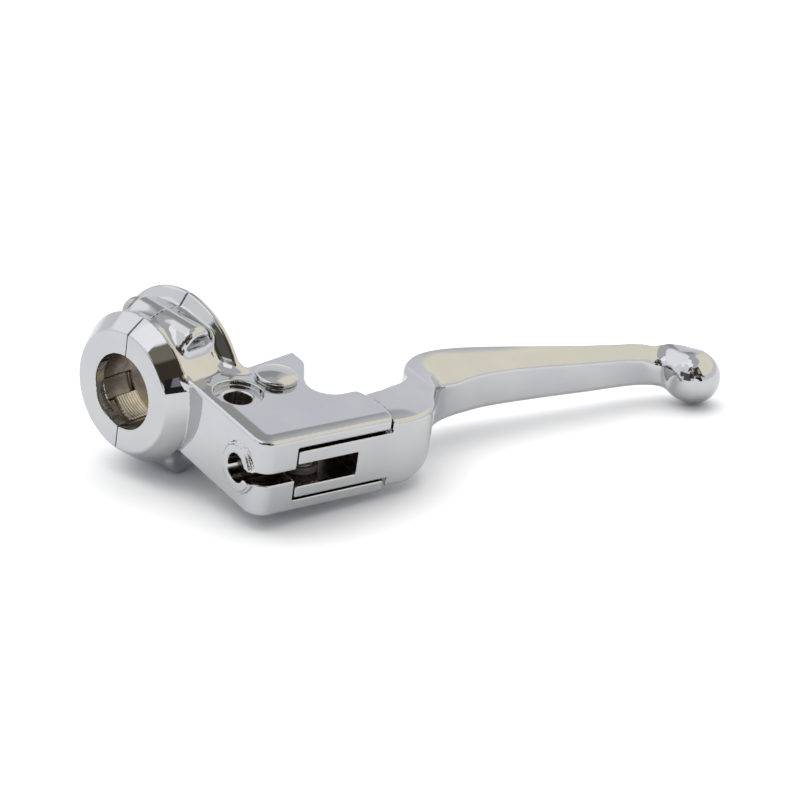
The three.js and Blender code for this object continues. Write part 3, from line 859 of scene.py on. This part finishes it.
def machined_places(p):
    """The bright cut faces: the grip pad in the bore, and the mirror's hole."""
    x, y, z, rho = bar_coordinates(p)
    along, turned = bore_patch(x, np.arctan2(z, y), PAD)
    pad = (rho < PAD["high"]) & (along < 0) & (turned < 0)
    u, v, w = block_coordinates(p)
    narrow = np.hypot(u - MIRROR["u"], v - MIRROR["v"]) < MIRROR["hole"] + HOLE_EDGE["reach"]
    below_seat = w < BLOCK["top"] - MIRROR["depth"] - HOLE_EDGE["depth"]
    return pad | (narrow & below_seat)


def painted_shade_places(p):
    """The faces painted dark with a brown metal as shade: inside the bore, the fork and the cable's slit."""
    x, _, _, rho = bar_coordinates(p)
    u, v, w = block_coordinates(p)
    inside_ends = (x > SHADED_BORE["inboard"]) & (x < CLAMP_LENGTH - SHADED_BORE["outboard"])
    inside_bore = (rho < BAR_RADIUS + SHADED_BORE["depth"]) & inside_ends
    behind_front = v > BLOCK["front"] + SHADE_BEHIND_RIM["fork"]
    inside_fork = (fork_room(u, v, w) < NEAR) & behind_front
    inside_slit = (cable_room(u, v, w) < NEAR) & behind_front & (u > BLOCK["left"] + SHADE_BEHIND_RIM["cable"])
    return inside_bore | inside_fork | inside_slit


def lever_window_shade(p):
    """The walls of the lever's window behind its rim, painted dark with a brown metal as shade."""
    u, v, w = block_coordinates(p)
    return (window(u, v, w) < NEAR) & (v > BLOCK["front"] + SHADE_BEHIND_RIM["window"])


def add_piece(name, node, slot, distance, cell, finishes=()):
    """Skins one piece in its node's box, dresses it and puts it on its node's body."""
    low, high = node_box(node)
    piece = skin(name, distance, low - SKIN_ROOM, high + SKIN_ROOM, cell)
    piece.data.materials.append(materials[slot])
    centres = np.empty(len(piece.data.polygons) * 3, np.float32)
    piece.data.polygons.foreach_get("center", centres)
    chosen = np.zeros(len(piece.data.polygons), np.int32)
    for index, (material, where) in enumerate(finishes, 1):
        piece.data.materials.append(materials[material])
        chosen[where(centres.reshape(-1, 3) / MM)] = index
    piece.data.polygons.foreach_set("material_index", chosen)
    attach(piece, body_of[node])
    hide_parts(node)


body_of = {node: body for body, members in record["behaviour"]["bodies"].items() for node in members}
# Painted shade in dark metal inside the recesses, and the bright machined faces.
inner_faces = [("painted_shade_metal", painted_shade_places), ("machined", machined_places)]
add_piece("bracket_casting", "bracket", "chrome", bracket, CASTING_CELL, inner_faces)
add_piece("clamp_rear_casting", "clamp_rear", "chrome", rear_clamp, CASTING_CELL, inner_faces)
# The lever's window walls get painted shade in dark metal.
add_piece("lever_forging", "lever", "chrome", lever, CASTING_CELL, [("painted_shade_metal", lever_window_shade)])
add_piece("pivot_pin_turned", "pivot_pin", "polished_steel", pivot_pin, TURNED_CELL)
add_piece("retaining_ring_sprung", "retaining_ring", "spring_steel", retaining_ring, SMALL_CELL)
add_piece("pivot_bush_sleeve", "pivot_bush", "bronze", pivot_bush, TURNED_CELL)
add_piece("anchor_bush_sleeve", "anchor_bush", "nylon", anchor_bush, SMALL_CELL)
add_piece("anchor_pin_turned", "anchor_pin", "plated_steel", anchor_pin, TURNED_CELL)
for side, height in SCREW_HEIGHTS.items():
    screw = "clamp_screw_" + side
    washer = "clamp_washer_" + side
    add_piece(screw + "_cap", screw, "plated_steel", clamp_screw(height), SCREW_CELL)
    add_piece(washer + "_flat", washer, "plated_steel", clamp_washer(height), SMALL_CELL)


# ------------------------------------------------------------------ camera
CAMERA_PLACE = Vector((-0.68011, -0.62508, 0.51484))
CAMERA_AIM = Vector((0.02992, -0.02764, 0.02668))
CAMERA_UP = Vector((0.25332, 0.41352, 0.87454))
CAMERA_LENS = 145.81  # mm
SENSOR_WIDTH = 36  # mm
camera_data = bpy.data.cameras.new("camera")
camera_data.lens = CAMERA_LENS
camera_data.sensor_width = SENSOR_WIDTH
camera = bpy.data.objects.new("camera", camera_data)
bpy.context.scene.collection.objects.link(camera)
bpy.context.scene.camera = camera
forward = (CAMERA_AIM - CAMERA_PLACE).normalized()
right = forward.cross(CAMERA_UP).normalized()
camera_axes = Matrix((right, right.cross(forward), -forward)).transposed()
camera.matrix_world = Matrix.Translation(CAMERA_PLACE) @ camera_axes.to_4x4()

# ------------------------------------------------------------------ floor
# The part lies tilted on the table: the table's plane touches the clamp's flange and the lever's ball.
TABLE_NORMAL = Vector((-0.0243, 0.1647, 0.986)).normalized()
TABLE_HEIGHT = -0.0066
FLOOR_RADIUS = 2.5
FLOOR_SIDES = 96
table_forward = (-forward + TABLE_NORMAL * forward.dot(TABLE_NORMAL)).normalized()
table_right = -table_forward.cross(TABLE_NORMAL).normalized()


def floor_material():
    """Matt white paper with a faint tooth: burnt out for the camera, softer in the chrome."""
    material, nodes, links, shader = new_material("studio_paper")
    tooth = noise(nodes, links, 30)
    paper = ramp(nodes, links, tooth, (0.965, 0.965, 0.965), (0.97, 0.97, 0.97))
    reflected = ramp(nodes, links, tooth, (0.82, 0.82, 0.825), (0.83, 0.83, 0.83))
    seen = nodes.new("ShaderNodeLightPath").outputs["Is Camera Ray"]
    links.new(mixed(nodes, links, seen, reflected, paper), shader.inputs["Base Color"])
    shader.inputs["Roughness"].default_value = 0.9
    shader.inputs["Specular IOR Level"].default_value = 0.0
    return material


def floor():
    mesh = bpy.data.meshes.new("studio_floor")
    build = bmesh.new()
    bmesh.ops.create_circle(build, cap_ends=True, radius=FLOOR_RADIUS, segments=FLOOR_SIDES)
    build.to_mesh(mesh)
    build.free()
    mesh.materials.append(floor_material())
    piece = bpy.data.objects.new("studio_floor", mesh)
    axes = Matrix((table_right, table_forward, TABLE_NORMAL)).transposed().to_4x4()
    piece.matrix_world = Matrix.Translation(TABLE_NORMAL * TABLE_HEIGHT) @ axes
    bpy.context.scene.collection.objects.link(piece)


floor()

# ------------------------------------------------------------------ studio
BACKGROUND = (1.0, 1.0, 1.0)
# What lights the matt surfaces: one colour low round the table and one overhead, blended between two
# sines of elevation.
SOFT_LIGHT = [(0.26, 0.29, 0.37), (0.97, 0.96, 0.94)]
SOFT_SPAN = (0.14, 0.86)
KEY_LIGHT = {"energy": 2.2, "angle": math.radians(90), "behind": 0.6, "left": 0.25}
# What the chrome reflects. Each panel: its azimuth from the camera's side of the part, to the right, and its
# elevation over the table, both in degrees; how softly those two edges fade; and its light. A later panel
# covers an earlier one.
PANELS = [
    ((-190, 190), (-100, 4), (1, 3), (1.0, 1.0, 1.0)),  # below the horizon
    ((-190, 190), (5, 35), (1, 2), (0.86, 0.87, 0.92)),  # low wall
    ((-190, 190), (37, 58), (1, 3), (0.75, 0.76, 0.80)),  # high wall
    ((172, 190), (37, 60), (12, 2), (0.46, 0.46, 0.45)),  # dim wall behind, its right half
    ((-190, -165), (37, 60), (8, 2), (0.46, 0.46, 0.45)),  # and its left half
    ((-190, 190), (60, 100), (1, 6), (0.62, 0.62, 0.63)),  # ceiling
    ((-130, -45), (8, 60), (8, 8), (1.0, 1.0, 1.03)),  # white panel at the left
    ((-120, -12), (56, 78), (8, 5), (1.38, 1.38, 1.40)),  # bright strip over it
    ((-148, -104), (30, 66), (10, 6), (1.22, 1.22, 1.24)),  # bright panel at the left, behind
    ((42, 154), (22, 62), (7, 6), (1.13, 1.06, 0.88)),  # beige panel at the right
    ((-46, -18), (2, 30), (4, 2), (0.12, 0.115, 0.10)),  # dark gap left of the camera
    ((-22, 44), (14, 58), (3, 3), (0.06, 0.05, 0.035)),  # dark gap round the camera
    ((-24, 8), (44, 58), (3, 5), (0.24, 0.22, 0.17)),  # its paler top
    ((27, 41), (28, 48), (2, 3), (0.45, 0.40, 0.30)),  # pale patch at its right
    ((8, 32), (-3, 18), (2, 1), (0.02, 0.02, 0.02)),  # black foot under the camera
    ((12, 27), (8, 18), (1, 1), (0.27, 0.245, 0.29)),  # grey patch in it
]


def maths(nodes, links, operation, *values):
    """The result of one operation on values, each fixed or from another node."""
    node = nodes.new("ShaderNodeMath")
    node.operation = operation
    for index, value in enumerate(values):
        if isinstance(value, (int, float)):
            node.inputs[index].default_value = value
        else:
            links.new(value, node.inputs[index])
    return node.outputs[0]


def component(nodes, links, direction, axis):
    dot = nodes.new("ShaderNodeVectorMath")
    dot.operation = "DOT_PRODUCT"
    dot.inputs[1].default_value = axis
    links.new(direction, dot.inputs[0])
    return dot.outputs["Value"]


def inside(nodes, links, angle, span, soft):
    """1 where the angle is within the span, falling to 0 over soft degrees outside."""
    middle = (span[0] + span[1]) / 2
    away = maths(nodes, links, "ABSOLUTE", maths(nodes, links, "SUBTRACT", angle, middle))
    fall = nodes.new("ShaderNodeMapRange")
    fall.interpolation_type = "SMOOTHSTEP"
    fall.inputs["From Min"].default_value = (span[1] - span[0]) / 2
    fall.inputs["From Max"].default_value = (span[1] - span[0]) / 2 + soft
    fall.inputs["To Min"].default_value = 1
    fall.inputs["To Max"].default_value = 0
    links.new(away, fall.inputs["Value"])
    return fall.outputs["Result"]


def studio():
    """Chrome sees the panels, matt surfaces the soft light, and the camera the plain background."""
    world = bpy.data.worlds.new("studio")
    bpy.context.scene.world = world
    world.use_nodes = True
    nodes = world.node_tree.nodes
    links = world.node_tree.links
    light = nodes["Background"]
    direction = nodes.new("ShaderNodeTexCoord").outputs["Generated"]
    height = component(nodes, links, direction, TABLE_NORMAL)
    elevation = maths(nodes, links, "DEGREES", maths(nodes, links, "ARCSINE", height))
    to_right = component(nodes, links, direction, table_right)
    to_camera = component(nodes, links, direction, table_forward)
    azimuth = maths(nodes, links, "DEGREES", maths(nodes, links, "ARCTAN2", to_right, to_camera))
    colour = BACKGROUND
    for azimuths, elevations, (soft_sides, soft_ends), shade in PANELS:
        across = inside(nodes, links, azimuth, azimuths, soft_sides)
        upright = inside(nodes, links, elevation, elevations, soft_ends)
        cover = maths(nodes, links, "MULTIPLY", across, upright)
        colour = mixed(nodes, links, cover, colour, shade)
    rays = nodes.new("ShaderNodeLightPath").outputs
    soft_light = ramp(nodes, links, height, *SOFT_LIGHT, SOFT_SPAN)
    colour = mixed(nodes, links, rays["Is Glossy Ray"], soft_light, colour)
    colour = mixed(nodes, links, rays["Is Camera Ray"], colour, BACKGROUND)
    links.new(colour, light.inputs["Color"])


def key_light():
    """A broad soft light from behind and above, kept out of the chrome."""
    data = bpy.data.lights.new("key", "SUN")
    data.energy = KEY_LIGHT["energy"]
    data.angle = KEY_LIGHT["angle"]
    light = bpy.data.objects.new("key", data)
    lean = table_forward * KEY_LIGHT["behind"] + table_right * KEY_LIGHT["left"]
    shine = (TABLE_NORMAL - lean).normalized()
    light.rotation_mode = "QUATERNION"
    light.rotation_quaternion = shine.to_track_quat("Z", "Y")
    light.visible_glossy = False
    bpy.context.scene.collection.objects.link(light)


studio()
key_light()
bpy.context.scene.view_settings.view_transform = "Standard"
bpy.context.scene.view_settings.exposure = 0
